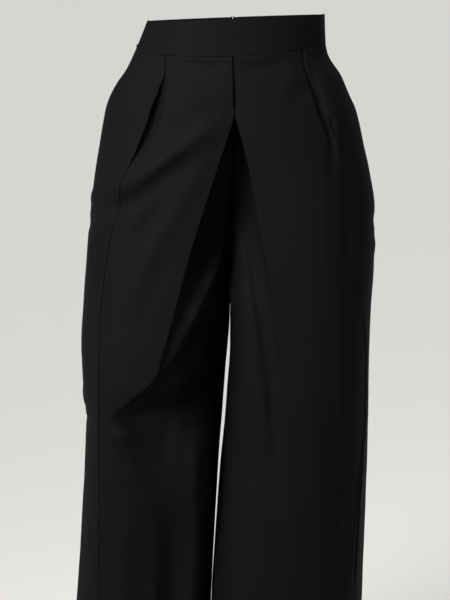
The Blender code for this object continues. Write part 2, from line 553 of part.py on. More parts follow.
def back_section(leg, z):
    """Points of a back panel at one height, from the side seam to the seat seam or the inseam."""
    line = back_line(leg, z)
    middle = line.length_to_x(centre_edge(leg, z) + leg.side * BACK_MIDDLE, line.length * 0.3)
    outer = [SEAM_GAP / 2 + (middle - SEAM_GAP / 2) * (k / BACK_OUTER_COLUMNS) ** BACK_CROWDING
             for k in range(BACK_OUTER_COLUMNS)]
    inner = [line.length - (line.length - middle) * (k / BACK_INNER_COLUMNS) ** BACK_CROWDING
             for k in range(BACK_INNER_COLUMNS, -1, -1)]
    points = []
    for at in outer + inner:
        place, normal = line.point(at), -outward(line.heading(at), leg.side)
        near_seam = ease(at / SEAM_FADE) * ease((line.length - at) / SEAM_FADE)
        points.append(place + normal * fold_height(leg.back_folds, place[0], z) * near_seam)
    return points


def row_heights():
    """Heights of the panels' rows, closer together where the crotch seam turns level."""
    heights = list(np.linspace(WAIST_SEAM, PLEAT_APEX, YOKE_ROWS + 1))
    for k in range(1, RISE_ROWS + 1):
        share = 1 - (1 - k / RISE_ROWS) ** RISE_CROWDING
        heights.append(PLEAT_APEX + (CROTCH - PLEAT_APEX) * share)
    heights += list(np.linspace(CROTCH, KNEE_TOP, THIGH_ROWS + 1)[1:])
    heights += list(np.linspace(KNEE_TOP, KNEE_BOTTOM, KNEE_ROWS + 1)[1:])
    heights += [KNEE_BOTTOM + (HEM - KNEE_BOTTOM) * (k / CALF_ROWS) ** 1.2
                for k in range(1, CALF_ROWS + 1)]
    return heights


def stand(x, y, z, front):
    """A section's point where the garment stands: leaning with the hips, seam dipped in front."""
    dip_half = WAIST_DIP_HALF[1 if x > 0 else -1]
    dip = WAIST_SEAM_DIP * max(1 - (x / dip_half) ** 2, 0.0) if front else 0.0
    if z < WAIST_SEAM:
        near_seam = 1 - ease((WAIST_SEAM - z) / 0.07)
    else:
        near_seam = 1 - ease((z - WAIST_SEAM) / (BAND_TOP - WAIST_SEAM))
    lean = math.tan(HIP_LEAN) * x * (1 - ease(z / LEAN_END))
    return Vector((x, y, z - dip * near_seam + lean))


def material(name, color, roughness, metallic=0.0):
    new = bpy.data.materials.new(name)
    new.use_nodes = True
    shader = new.node_tree.nodes["Principled BSDF"]
    shader.inputs["Base Color"].default_value = color
    shader.inputs["Roughness"].default_value = roughness
    shader.inputs["Metallic"].default_value = metallic
    return new


def cloth_piece(name, rows, wall, finish, collection, faces_left):
    """A cloth sheet through rows of points, top row first, thickened to its inner side."""
    down, across = len(rows) - 1, len(rows[0]) - 1
    grid = bmesh.new()
    bmesh.ops.create_grid(grid, x_segments=across, y_segments=down, size=1.0)
    for vertex in grid.verts:
        column = round((vertex.co.x + 1) / 2 * across)
        row = round((1 - vertex.co.y) / 2 * down)
        vertex.co = rows[row][column]
    if faces_left:
        bmesh.ops.reverse_faces(grid, faces=grid.faces)
    mesh = bpy.data.meshes.new(name)
    grid.to_mesh(mesh)
    grid.free()
    mesh.shade_smooth()
    mesh.materials.append(finish)
    piece = bpy.data.objects.new(name, mesh)
    collection.objects.link(piece)
    thickness = piece.modifiers.new("Cloth", "SOLIDIFY")
    thickness.thickness = wall
    thickness.offset = -1.0
    return piece


def leg_panels(collection, cloth):
    for leg, label in ((RIGHT, "right"), (LEFT, "left")):
        for section, part in ((front_section, "front"), (back_section, "back")):
            rows = [[stand(x, y, z, part == "front") for x, y in section(leg, z)]
                    for z in row_heights()]
            faces_left = (leg.side > 0) == (part == "front")
            cloth_piece(f"{part}_{label}", rows, CLOTH, cloth, collection, faces_left)


def waistband_rows(sections, front):
    """Rows of a waistband piece from top to seam, through section lines of its parts."""
    rows = []
    for k in range(BAND_ROWS + 1):
        z = BAND_TOP + (WAIST_SEAM + BAND_GAP - BAND_TOP) * k / BAND_ROWS
        rows.append([stand(x, y, z, front) for section in sections for x, y in section(z)])
    return rows


def waistband(collection, cloth):
    """Front from side seam to side seam, and two backs that end at the zip."""

    def half(line):
        return [line.point(SEAM_GAP / 2 + (line.length - SEAM_GAP / 2) * share)
                for share in seam_to_seam(BAND_COLUMNS)]

    front = waistband_rows([lambda z: half(front_line(RIGHT, z))[:-1],
                            lambda z: half(front_line(LEFT, z))[::-1]], True)
    cloth_piece("waistband_front", front, BAND_CLOTH, cloth, collection, False)
    for leg, label in ((RIGHT, "right"), (LEFT, "left")):
        rows = waistband_rows([lambda z, leg=leg: half(back_line(leg, z))], False)
        cloth_piece(f"waistband_back_{label}", rows, BAND_CLOTH, cloth, collection, leg.side < 0)


def zip_tapes(collection, tape):
    """The zip's two tapes, sewn behind the back edges, just inside the cloth."""
    for leg, label in ((RIGHT, "right"), (LEFT, "left")):
        rows = []
        for z in np.linspace(TAPE_TOP, ZIP_END, TAPE_ROWS + 1):
            wall = CLOTH + (BAND_CLOTH - CLOTH) * ease((z - WAIST_SEAM + 0.02) / 0.015)
            line = back_line(leg, z)
            row = []
            for k in range(TAPE_COLUMNS + 1):
                at = line.length - TAPE_WIDTH * (1 - k / TAPE_COLUMNS)
                inward = outward(line.heading(at), leg.side)
                row.append(stand(*(line.point(at) + inward * (wall + TAPE_GAP)), z, False))
            rows.append(row)
        cloth_piece(f"zip_tape_{label}", rows, TAPE_CLOTH, tape, collection, leg.side < 0)


def poly_curve(name, points, cyclic, dimensions):
    data = bpy.data.curves.new(name, "CURVE")
    data.dimensions = dimensions
    for outline in points:
        spline = data.splines.new("POLY")
        spline.points.add(len(outline) - 1)
        for point, place in zip(spline.points, outline):
            point.co = (*place, 1.0)
        spline.use_cyclic_u = cyclic
    return data


def mesh_from_curve(name, data, finish, collection):
    """A mesh object of a curve, its caps welded on."""
    source = bpy.data.objects.new(name + "_curve", data)
    collection.objects.link(source)
    evaluated = source.evaluated_get(bpy.context.evaluated_depsgraph_get())
    mesh = bpy.data.meshes.new_from_object(evaluated)
    bpy.data.objects.remove(source, do_unlink=True)
    welded = bmesh.new()
    welded.from_mesh(mesh)
    bmesh.ops.remove_doubles(welded, verts=welded.verts, dist=1e-6)
    welded.to_mesh(mesh)
    welded.free()
    mesh.materials.clear()
    mesh.materials.append(finish)
    piece = bpy.data.objects.new(name, mesh)
    collection.objects.link(piece)
    return piece


def zip_slider(collection, cutters, pivot, metal):
    """Slider body behind the tapes, with a wire bail that comes out through the slot."""
    bpy.ops.mesh.primitive_cube_add(size=1.0)
    slider = bpy.context.object
    slider.name = slider.data.name = "zip_slider"
    behind = PIVOT_OUT + BAND_CLOTH + TAPE_CLOTH + 2 * TAPE_GAP + SLIDER_SIZE[1] / 2
    for vertex in slider.data.vertices:
        vertex.co = [c * size for c, size in zip(vertex.co, SLIDER_SIZE)]
        vertex.co.y -= behind
    slider.parent = pivot
    slider.data.materials.append(metal)
    bpy.context.collection.objects.unlink(slider)
    collection.objects.link(slider)
    edge = slider.modifiers.new("Rounded edges", "BEVEL")
    edge.width = 0.0004
    edge.segments = 1

    root = (0.0, -behind)
    arc = [(BAIL_RADIUS * math.sin(a), BAIL_RADIUS * math.cos(a))
           for a in np.linspace(0, math.pi, BAIL_SEGMENTS + 1)]
    path = [(0.0, root[1], BAIL_RADIUS)] + [(0.0, y, z) for y, z in arc] + [(0.0, root[1], -BAIL_RADIUS)]
    data = poly_curve("bail", [path], False, "3D")
    data.bevel_depth = BAIL_WIRE
    data.bevel_resolution = 1
    data.use_fill_caps = True
    bail = mesh_from_curve("bail", data, metal, cutters)
    bail.parent = pivot
    bail.hide_render = True
    bail.display_type = "WIRE"
    joined = slider.modifiers.new("Bail", "BOOLEAN")
    joined.operation = "UNION"
    joined.object = bail


def zip_pull(collection, pivot, metal):
    """Pull tab: a drop-shaped plate whose top bar lies in the bail, on the pivot."""
    half, bar = PULL_WIDTH / 2, PULL_BAR
    neck = PULL_EYE_WIDTH / 2 + 2 * PULL_BAR
    outline = [(-neck, bar), (neck, bar), (neck, -bar - PULL_EYE_LENGTH)]
    round_y = -PULL_LENGTH + half + bar
    outline += [(half * math.cos(a), round_y - half * math.sin(a))
                for a in np.linspace(0, math.pi, PULL_SEGMENTS + 1)]
    outline.append((-neck, -bar - PULL_EYE_LENGTH))
    eye = [(x * PULL_EYE_WIDTH / 2, -bar - PULL_EYE_LENGTH * down)
           for x, down in ((-1, 0), (1, 0), (1, 1), (-1, 1))]
    data = poly_curve("pull", [[(x, y, 0.0) for x, y in outline], [(x, y, 0.0) for x, y in eye]],
                      True, "2D")
    data.fill_mode = "BOTH"
    data.extrude = PULL_THICKNESS / 2
    pull = mesh_from_curve("zip_pull", data, metal, collection)
    pull.rotation_euler = (math.pi / 2, 0, 0)
    pull.parent = pivot


def closure(collection, cutters, tape, metal):
    zip_tapes(collection, tape)
    face_y = read(RIGHT_HANG, "back_y", SLIDER_Z)
    slope = (read(RIGHT_HANG, "back_y", SLIDER_Z - 0.005)
             - read(RIGHT_HANG, "back_y", SLIDER_Z + 0.005)) / 0.01
    pivot = bpy.data.objects.new("zip_pivot", None)
    pivot.location = (read(CENTRE_LINE, "x", SLIDER_Z), face_y + PIVOT_OUT, SLIDER_Z)
    pivot.rotation_euler = (math.atan(slope), 0, 0)
    collection.objects.link(pivot)
    zip_slider(collection, cutters, pivot, metal)
    zip_pull(collection, pivot, metal)


def main():
    for old in list(bpy.data.objects):
        bpy.data.objects.remove(old, do_unlink=True)
    collection = bpy.data.collections.new("palazzo_pants")
    bpy.context.scene.collection.children.link(collection)
    cutters = bpy.data.collections.new("cutters")
    bpy.context.scene.collection.children.link(cutters)
    cloth = material("black_crepe", BLACK_CLOTH, 0.85)
    tape = material("black_tape", BLACK_TAPE, 0.7)
    metal = material("black_metal", DARK_METAL, 0.35, 1.0)
    leg_panels(collection, cloth)
    waistband(collection, cloth)
    closure(collection, cutters, tape, metal)


main()
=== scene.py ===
"""Palazzo pants in black crepe, worn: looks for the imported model, in metres, +Z up, front at -Y."""

import json
import math
from collections import namedtuple

import bmesh
import bpy
import numpy as np
from mathutils import Matrix, Vector, noise
from mathutils.kdtree import KDTree

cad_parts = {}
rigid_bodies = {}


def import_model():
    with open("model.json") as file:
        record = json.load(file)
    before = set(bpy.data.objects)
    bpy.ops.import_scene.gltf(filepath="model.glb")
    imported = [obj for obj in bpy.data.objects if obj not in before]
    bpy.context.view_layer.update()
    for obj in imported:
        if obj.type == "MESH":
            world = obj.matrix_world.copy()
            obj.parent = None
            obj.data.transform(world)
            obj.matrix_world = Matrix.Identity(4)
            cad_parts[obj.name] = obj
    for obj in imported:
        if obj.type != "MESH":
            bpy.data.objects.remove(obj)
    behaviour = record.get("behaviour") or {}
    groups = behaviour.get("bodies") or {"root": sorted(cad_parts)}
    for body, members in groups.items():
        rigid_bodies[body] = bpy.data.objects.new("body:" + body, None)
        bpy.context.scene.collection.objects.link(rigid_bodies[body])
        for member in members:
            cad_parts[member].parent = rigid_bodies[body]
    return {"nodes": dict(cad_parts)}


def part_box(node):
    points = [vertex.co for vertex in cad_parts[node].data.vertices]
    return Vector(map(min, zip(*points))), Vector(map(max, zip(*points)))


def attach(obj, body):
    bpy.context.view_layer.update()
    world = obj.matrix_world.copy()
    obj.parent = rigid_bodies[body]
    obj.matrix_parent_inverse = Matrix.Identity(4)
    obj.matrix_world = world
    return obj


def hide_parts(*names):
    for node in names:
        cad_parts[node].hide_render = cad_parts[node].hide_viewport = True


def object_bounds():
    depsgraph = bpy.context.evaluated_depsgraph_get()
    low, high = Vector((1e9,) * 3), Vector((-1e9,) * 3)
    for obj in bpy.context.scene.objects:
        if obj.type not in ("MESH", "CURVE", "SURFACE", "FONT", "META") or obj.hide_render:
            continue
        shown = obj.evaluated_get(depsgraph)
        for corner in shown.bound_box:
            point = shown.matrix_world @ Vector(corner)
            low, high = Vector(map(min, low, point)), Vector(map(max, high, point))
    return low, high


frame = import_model()
cad_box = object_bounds()

# ---- The view ----------------------------------------------------------------------------------
# The photo's camera stands 3.2 m in front of the waist, a little above it, and looks down at
# the knees. The picture ends above the hems.

bpy.ops.object.camera_add(location=(-0.0138, -3.2, 0.07), rotation=(math.radians(82.052), 0, 0))
camera = bpy.context.object
camera.name = "photo_view"
camera.data.sensor_fit = "VERTICAL"
camera.data.sensor_height = 36
camera.data.lens = 134.74
bpy.context.scene.camera = camera
bpy.context.scene.view_settings.view_transform = "Standard"

# ---- The studio --------------------------------------------------------------------------------
# A plain pale floor runs far back, so that it also makes the background. Broad soft light comes
# from the upper left in front, and a weak one from behind at the right.

bpy.ops.object.select_all(action="DESELECT")
bpy.ops.mesh.primitive_plane_add(size=600, location=(0, 0, cad_box[0][2] - 0.002))
floor = bpy.context.object
floor.name = "pale_floor"

paper = bpy.data.materials.new("pale_paper")
paper.use_nodes = True
paper_shader = paper.node_tree.nodes["Principled BSDF"]
paper_shader.inputs["Base Color"].default_value = (0.80, 0.785, 0.765, 1)
paper_shader.inputs["Roughness"].default_value = 0.9
paper_shader.inputs["Specular IOR Level"].default_value = 0.1
floor.data.materials.append(paper)

for name, comes_from, softness, strength in (
        ("ceiling_light", (-0.40, -0.42, 1.6), 34, 2.45),
        ("back_light", (1.2, 1.6, 1.0), 30, 0.20)):
    bpy.ops.object.light_add(type="SUN", location=comes_from)
    lamp = bpy.context.object
    lamp.name = name
    lamp.data.angle = math.radians(softness)
    lamp.data.energy = strength
    lamp.rotation_euler = Vector(comes_from).to_track_quat("Z", "Y").to_euler()
bpy.ops.object.light_add(type="AREA", location=(-1.15, -1.50, 0.60))
softbox = bpy.context.object
softbox.name = "softbox"
softbox.data.size = 0.7
softbox.data.energy = 6.4
softbox.data.spread = math.radians(70)
softbox.rotation_euler = (softbox.location - Vector((0, 0, -0.2))).to_track_quat("Z", "Y").to_euler()
bpy.context.scene.world = bpy.data.worlds.new("studio")
bpy.context.scene.world.use_nodes = True
room_light = bpy.context.scene.world.node_tree.nodes["Background"]
room_light.inputs["Color"].default_value = (1.0, 0.99, 0.97, 1)
room_light.inputs["Strength"].default_value = 0.11

# ---- Leg panels --------------------------------------------------------------------------------
# Two fronts and two backs in black crepe suiting, sewn at the side seams, the inseams and the
# centre. Each is one sheet; its pressed pleats and the drape over the bent knee follow the
# solids, and the finer creases are laid in one by one.

CREPE = 0.0009                # thickness of the cloth
SAME_PLACE = 0.00002          # points of the solid nearer than this are one point
WALL_EDGE = math.radians(62)  # the outer face ends where the solid turns by more than this
ANY_TURN = math.radians(170)  # triangles join into quads up to this angle

crepe = bpy.data.materials.new("black_crepe_cloth")
crepe.use_nodes = True
crepe_nodes, crepe_links = crepe.node_tree.nodes, crepe.node_tree.links
crepe_shader = crepe_nodes["Principled BSDF"]
crepe_shader.inputs["Roughness"].default_value = 0.7
crepe_shader.inputs["Specular IOR Level"].default_value = 0.03
crepe_place = crepe_nodes.new("ShaderNodeTexCoord")
crepe_pebble = crepe_nodes.new("ShaderNodeTexNoise")
crepe_pebble.inputs["Scale"].default_value = 1500
crepe_pebble.inputs["Detail"].default_value = 3
crepe_links.new(crepe_place.outputs["Object"], crepe_pebble.inputs["Vector"])
crepe_tint = crepe_nodes.new("ShaderNodeTexNoise")
crepe_tint.inputs["Scale"].default_value = 7
crepe_links.new(crepe_place.outputs["Object"], crepe_tint.inputs["Vector"])
crepe_color = crepe_nodes.new("ShaderNodeMix")
crepe_color.data_type = "RGBA"
crepe_color.inputs["A"].default_value = (0.0058, 0.0050, 0.0052, 1)
crepe_color.inputs["B"].default_value = (0.0074, 0.0066, 0.0067, 1)
crepe_links.new(crepe_tint.outputs["Fac"], crepe_color.inputs["Factor"])
crepe_links.new(crepe_color.outputs["Result"], crepe_shader.inputs["Base Color"])
crepe_bump = crepe_nodes.new("ShaderNodeBump")
crepe_bump.inputs["Strength"].default_value = 0.35
crepe_bump.inputs["Distance"].default_value = 0.0003
crepe_links.new(crepe_pebble.outputs["Fac"], crepe_bump.inputs["Height"])
crepe_links.new(crepe_bump.outputs["Normal"], crepe_shader.inputs["Normal"])


def outer_sheet(node, name, seed):
    """The outer face of a panel's solid, as one open sheet of quads. The seed lies on that face."""
    bpy.ops.object.select_all(action="DESELECT")
    sheet = frame["nodes"][node].copy()
    sheet.data = frame["nodes"][node].data.copy()
    for key in list(sheet.keys()):
        del sheet[key]
    sheet.name = sheet.data.name = name
    sheet.parent = None
    bpy.context.scene.collection.objects.link(sheet)
    sheet.select_set(True)
    bpy.context.view_layer.objects.active = sheet
    bpy.ops.mesh.customdata_custom_splitnormals_clear()
    bpy.ops.object.mode_set(mode="EDIT")
    bpy.ops.mesh.select_mode(type="EDGE")
    bpy.ops.mesh.select_all(action="SELECT")
    bpy.ops.mesh.remove_doubles(threshold=SAME_PLACE)
    bpy.ops.mesh.mark_sharp(clear=True)
    bpy.ops.mesh.select_all(action="DESELECT")
    bpy.ops.mesh.edges_select_sharp(sharpness=WALL_EDGE)
    bpy.ops.mesh.mark_sharp()
    bpy.ops.mesh.select_mode(type="FACE")
    bpy.ops.mesh.select_all(action="DESELECT")
    bpy.ops.object.mode_set(mode="OBJECT")
    nearest = min(sheet.data.polygons, key=lambda face: (face.center - Vector(seed)).length)
    nearest.select = True
    bpy.ops.object.mode_set(mode="EDIT")
    bpy.ops.mesh.select_linked(delimit={"SHARP"})
    bpy.ops.mesh.select_all(action="INVERT")
    bpy.ops.mesh.delete(type="FACE")
    bpy.ops.mesh.select_all(action="SELECT")
    bpy.ops.mesh.mark_sharp(clear=True)
    bpy.ops.mesh.tris_convert_to_quads(face_threshold=ANY_TURN, shape_threshold=ANY_TURN,
                                       topology_influence=1.5)
    bpy.ops.object.mode_set(mode="OBJECT")
    return sheet


FITTING_ROUNDS = 3            # each brings the rounded sheet nearer to the solid's points


def finer(sheet, levels):
    """Rounds the sheet out into finer cloth that still runs through the solid's own points."""
    own_places = [vertex.co.copy() for vertex in sheet.data.vertices]
    smoother = sheet.modifiers.new("Finer", "SUBSURF")
    smoother.levels = smoother.render_levels = levels
    for _ in range(FITTING_ROUNDS):
        rounded = sheet.evaluated_get(bpy.context.evaluated_depsgraph_get()).data
        misses = [place - now.co for place, now in zip(own_places, rounded.vertices)]
        for vertex, miss in zip(sheet.data.vertices, misses):
            vertex.co += miss
        sheet.data.update()
    bpy.context.view_layer.objects.active = sheet
    bpy.ops.object.modifier_apply(modifier=smoother.name)


def thicken(sheet, wall):
    """Gives the sheet its thickness, inwards."""
    cloth = sheet.modifiers.new("Wall", "SOLIDIFY")
    cloth.thickness = wall
    cloth.offset = -1
    bpy.context.view_layer.objects.active = sheet
    bpy.ops.object.modifier_apply(modifier=cloth.name)
    sheet.data.shade_smooth()


# Folds and creases that are finer than the solids' own. A fold lies along points given by two
# coordinates, x and z seen from the front or back, y and z seen from a side. Its height is
# outwards, and it fades over these widths to its upper (or left) and lower (or right) side.
Fold = namedtuple("Fold", "height above below points")
FRONT_FOLDS = [
    # Bent leg: drawn folds from the open pleat to the hip
    Fold(0.0020, 0.012, 0.016, [(-0.022, -0.115), (-0.066, -0.146), (-0.106, -0.174),
                                (-0.138, -0.196), (-0.162, -0.209), (-0.184, -0.211)]),
    Fold(-0.0022, 0.014, 0.016, [(-0.054, -0.153), (-0.092, -0.182), (-0.125, -0.209),
                                 (-0.147, -0.224), (-0.190, -0.246)]),
    Fold(-0.0016, 0.014, 0.014, [(-0.040, -0.150), (-0.107, -0.230), (-0.127, -0.263),
                                 (-0.145, -0.295)]),
    Fold(0.0018, 0.016, 0.020, [(-0.034, -0.165), (-0.098, -0.263), (-0.139, -0.340),
                                (-0.152, -0.390)]),
    Fold(-0.0014, 0.018, 0.020, [(-0.085, -0.285), (-0.125, -0.370), (-0.140, -0.450)]),
    # Bent leg: inside the open pleat
    Fold(0.0050, 0.010, 0.011, [(-0.012, -0.280), (-0.030, -0.326), (-0.050, -0.369),
                                (-0.072, -0.410), (-0.088, -0.440)]),
    Fold(-0.0260, 0.006, 0.040, [(-0.010, -0.318), (-0.026, -0.350), (-0.038, -0.379),
                                 (-0.065, -0.424), (-0.088, -0.452), (-0.112, -0.474),
                                 (-0.140, -0.496), (-0.160, -0.513)]),
    Fold(0.0060, 0.014, 0.020, [(-0.016, -0.352), (-0.030, -0.388), (-0.046, -0.428),
                                (-0.060, -0.470)]),
    Fold(-0.0090, 0.012, 0.018, [(-0.020, -0.400), (-0.036, -0.444), (-0.058, -0.486),
                                 (-0.076, -0.520)]),
    # Bent leg: under the knee
    Fold(0.0045, 0.012, 0.016, [(-0.178, -0.541), (-0.140, -0.552), (-0.115, -0.560),
                                (-0.085, -0.562)]),
    Fold(-0.0035, 0.010, 0.014, [(-0.171, -0.550), (-0.158, -0.576), (-0.143, -0.606)]),
    Fold(-0.0055, 0.012, 0.014, [(-0.086, -0.520), (-0.099, -0.552), (-0.104, -0.612)]),
    Fold(0.0045, 0.014, 0.016, [(-0.056, -0.535), (-0.057, -0.600), (-0.060, -0.660),
                                (-0.062, -0.740)]),
    Fold(-0.0120, 0.034, 0.032, [(-0.094, -0.610), (-0.082, -0.700), (-0.084, -0.780),
                                 (-0.092, -0.880), (-0.104, -1.010)]),
    Fold(0.0050, 0.026, 0.030, [(-0.148, -0.600), (-0.152, -0.700), (-0.160, -0.820),
                                (-0.176, -1.018)]),
    # Straight leg: soft lengthwise folds, and small ones where it rubs on the other leg
    Fold(0.0016, 0.010, 0.012, [(0.157, -0.190), (0.160, -0.260), (0.160, -0.345)]),
    Fold(-0.0014, 0.012, 0.014, [(0.142, -0.200), (0.145, -0.280), (0.146, -0.370)]),
    Fold(0.0018, 0.022, 0.024, [(0.105, -0.400), (0.112, -0.560), (0.116, -0.720),
                                (0.118, -0.900), (0.120, -1.018)]),
    Fold(-0.0016, 0.020, 0.020, [(0.146, -0.430), (0.146, -0.600), (0.142, -0.800),
                                 (0.140, -1.018)]),
    Fold(-0.0018, 0.024, 0.022, [(0.028, -0.480), (0.030, -0.620), (0.024, -0.800),
                                 (0.016, -1.000)]),
    Fold(0.0014, 0.006, 0.007, [(-0.002, -0.548), (0.008, -0.556), (0.018, -0.572)]),
    Fold(-0.0012, 0.006, 0.008, [(-0.004, -0.580), (0.006, -0.592), (0.014, -0.612)]),
    Fold(0.0012, 0.006, 0.007, [(-0.007, -0.626), (0.003, -0.637), (0.012, -0.655)]),
    Fold(0.0013, 0.006, 0.008, [(-0.008, -0.686), (0.002, -0.698), (0.010, -0.722)]),
    Fold(-0.0010, 0.007, 0.008, [(-0.010, -0.735), (0.000, -0.748), (0.006, -0.770)]),
    # The inner sides below the knees, where the legs touch
    Fold(0.0026, 0.024, 0.024, [(-0.0240, -0.680), (-0.0270, -0.770), (-0.0310, -0.860),
                                (-0.0350, -0.950), (-0.0370, -1.018)]),
    Fold(0.0020, 0.020, 0.024, [(-0.0360, -0.700), (-0.0400, -0.790), (-0.0440, -0.880),
                                (-0.0490, -1.000)]),
    # Both legs: shallow hollows under the waistband
    Fold(-0.0030, 0.012, 0.024, [(-0.078, -0.034), (-0.054, -0.038), (-0.030, -0.040),
                                 (-0.004, -0.040)]),
    Fold(-0.0030, 0.012, 0.024, [(0.004, -0.039), (0.030, -0.038), (0.058, -0.034),
                                 (0.084, -0.030)]),
    Fold(0.0014, 0.016, 0.020, [(-0.076, -0.040), (-0.062, -0.075), (-0.050, -0.105)]),
    Fold(0.0012, 0.016, 0.020, [(0.082, -0.036), (0.066, -0.075), (0.052, -0.110)]),
    # The knife pleats' folded edges and the shade behind them
    Fold(-0.0040, 0.0030, 0.009, [(-0.1000, -0.034), (-0.1100, -0.068), (-0.1205, -0.093),
                                  (-0.1275, -0.1165), (-0.1370, -0.144), (-0.1490, -0.178)]),
    Fold(0.0020, 0.012, 0.003, [(-0.0960, -0.036), (-0.1040, -0.066), (-0.1140, -0.094),
                                (-0.1230, -0.122), (-0.1320, -0.150)]),
    Fold(-0.0045, 0.008, 0.003, [(0.1025, -0.030), (0.1120, -0.057), (0.1220, -0.083),
                                 (0.1305, -0.108), (0.1390, -0.130), (0.1430, -0.156)]),
    Fold(0.0024, 0.010, 0.006, [(0.1130, -0.032), (0.1230, -0.062), (0.1330, -0.090),
                                (0.1420, -0.120), (0.1480, -0.150)]),
    # The open pleat's edge on the straight leg, with the shade inside it
    Fold(-0.0040, 0.0090, 0.012, [(0.0060, -0.200), (0.0150, -0.260), (0.0260, -0.330),
                                  (0.0370, -0.400), (0.0480, -0.480), (0.0530, -0.550),
                                  (0.0560, -0.640)]),
    # Straight leg's side: the seam stands out, and the back folds in behind it
    Fold(0.0020, 0.004, 0.007, [(0.1700, -0.270), (0.1780, -0.349), (0.1840, -0.411),
                                (0.1865, -0.445), (0.1850, -0.554), (0.1800, -0.600),
                                (0.1740, -0.660), (0.1690, -0.730), (0.1630, -0.820)]),
    Fold(-0.0040, 0.008, 0.003, [(0.1905, -0.470), (0.1880, -0.554), (0.1840, -0.600),
                                 (0.1790, -0.660), (0.1750, -0.730), (0.1700, -0.820)]),
]
BACK_FOLDS = [
    # Under the seat
    Fold(0.0022, 0.014, 0.018, [(-0.035, -0.318), (-0.090, -0.290), (-0.150, -0.262),
                                (-0.195, -0.240)]),
    Fold(-0.0024, 0.014, 0.016, [(-0.028, -0.345), (-0.085, -0.328), (-0.150, -0.300),
                                 (-0.195, -0.285)]),
    Fold(-0.0022, 0.016, 0.018, [(0.026, -0.310), (0.075, -0.326), (0.130, -0.318),
                                 (0.175, -0.296)]),
    Fold(0.0018, 0.014, 0.020, [(0.020, -0.345), (0.080, -0.362), (0.135, -0.352),
                                (0.180, -0.330)]),
    # Behind the bent knee
    Fold(0.0026, 0.012, 0.016, [(-0.040, -0.452), (-0.090, -0.470), (-0.150, -0.468),
                                (-0.205, -0.448)]),
    Fold(-0.0028, 0.012, 0.016, [(-0.045, -0.492), (-0.095, -0.508), (-0.150, -0.505),
                                 (-0.200, -0.488)]),
    Fold(0.0024, 0.014, 0.018, [(-0.050, -0.530), (-0.100, -0.552), (-0.150, -0.560)]),
    Fold(-0.0020, 0.016, 0.020, [(-0.070, -0.575), (-0.120, -0.600), (-0.150, -0.640)]),
    # Lengthwise folds down both legs
    Fold(0.0030, 0.026, 0.024, [(-0.088, -0.600), (-0.094, -0.720), (-0.100, -0.860),
                                (-0.108, -1.018)]),
    Fold(-0.0030, 0.026, 0.026, [(-0.140, -0.620), (-0.152, -0.760), (-0.166, -0.900),
                                 (-0.176, -1.018)]),
    Fold(0.0028, 0.024, 0.026, [(0.060, -0.420), (0.066, -0.600), (0.062, -0.800),
                                (0.056, -1.018)]),
    Fold(-0.0028, 0.026, 0.024, [(0.112, -0.400), (0.116, -0.600), (0.118, -0.820),
                                 (0.116, -1.018)]),
    Fold(0.0022, 0.020, 0.022, [(0.158, -0.380), (0.162, -0.580), (0.158, -0.800),
                                (0.152, -1.000)]),
    # Waist darts, stitched
    Fold(-0.0009, 0.0045, 0.0045, [(-0.064, -0.026), (-0.065, -0.080), (-0.067, -0.128)]),
    Fold(-0.0009, 0.0045, 0.0045, [(0.064, -0.022), (0.065, -0.078), (0.067, -0.126)]),
]
RIGHT_SIDE_FOLDS = [
    Fold(0.0018, 0.014, 0.016, [(-0.080, -0.205), (-0.030, -0.222), (0.030, -0.232),
                                (0.080, -0.222)]),
    Fold(-0.0018, 0.014, 0.016, [(-0.080, -0.250), (-0.030, -0.262), (0.030, -0.268)]),
    Fold(0.0020, 0.012, 0.016, [(-0.110, -0.500), (-0.060, -0.512), (0.000, -0.500),
                                (0.060, -0.478)]),
    Fold(-0.0020, 0.012, 0.014, [(-0.100, -0.532), (-0.050, -0.545), (0.010, -0.535),
                                 (0.070, -0.510)]),
    Fold(0.0026, 0.024, 0.026, [(-0.020, -0.600), (-0.010, -0.760), (0.000, -0.900),
                                (0.006, -1.018)]),
]
LEFT_SIDE_FOLDS = [
    Fold(-0.0016, 0.016, 0.016, [(-0.050, -0.250), (0.000, -0.262), (0.060, -0.262),
                                 (0.100, -0.250)]),
    Fold(0.0016, 0.016, 0.018, [(-0.040, -0.290), (0.010, -0.300), (0.060, -0.298)]),
    Fold(0.0026, 0.022, 0.024, [(-0.010, -0.380), (-0.006, -0.560), (-0.010, -0.800),
                                (-0.012, -1.018)]),
    Fold(-0.0026, 0.022, 0.022, [(0.040, -0.360), (0.046, -0.560), (0.044, -0.800),
                                 (0.040, -1.018)]),
]
FOLD_STEP = 0.008             # spacing of the points that a fold is laid through
FOLD_END = 0.3                # share of a fold's length over which it rises or dies away
WAIST_FADE = 0.007            # folds grow from nothing over this distance from the waist seam
WAIST_REGION = -0.060         # the waist seam lies above this height
UPPER_SIDE = (-0.3, 0, 1)     # a fold's upper side faces this way; an upright fold's, the left
WEAR = 0.0004                 # height of the small unevenness all over
WEAR_SIZE = 0.045             # and its spread


def soft_step(part):
    """Runs from 0 to 1 with level ends."""
    part = np.clip(part, 0, 1)
    return part * part * (3 - 2 * part)


def laid_line(cloths, points, across, looking):
    """Points and outward directions of the cloth along a fold, as first seen that way."""
    places, facings = [], []
    for first, last in zip(points, points[1:]):
        count = max(2, math.ceil(math.dist(first, last) / FOLD_STEP))
        for step in range(count):
            spot = np.interp(step / count, (0, 1), (first[0], last[0]))
            height = np.interp(step / count, (0, 1), (first[1], last[1]))
            start = across * float(spot) + Vector((0, 0, float(height))) - looking
            hits = [cloth.ray_cast(start, looking) for cloth in cloths]
            hits = [hit for hit in hits if hit[0] and (hit[1] - start).length < looking.length]
            if hits:
                nearest = min(hits, key=lambda hit: (hit[1] - start).length)
                places.append(nearest[1])
                facings.append(nearest[2])
    return np.array(places), np.array(facings)


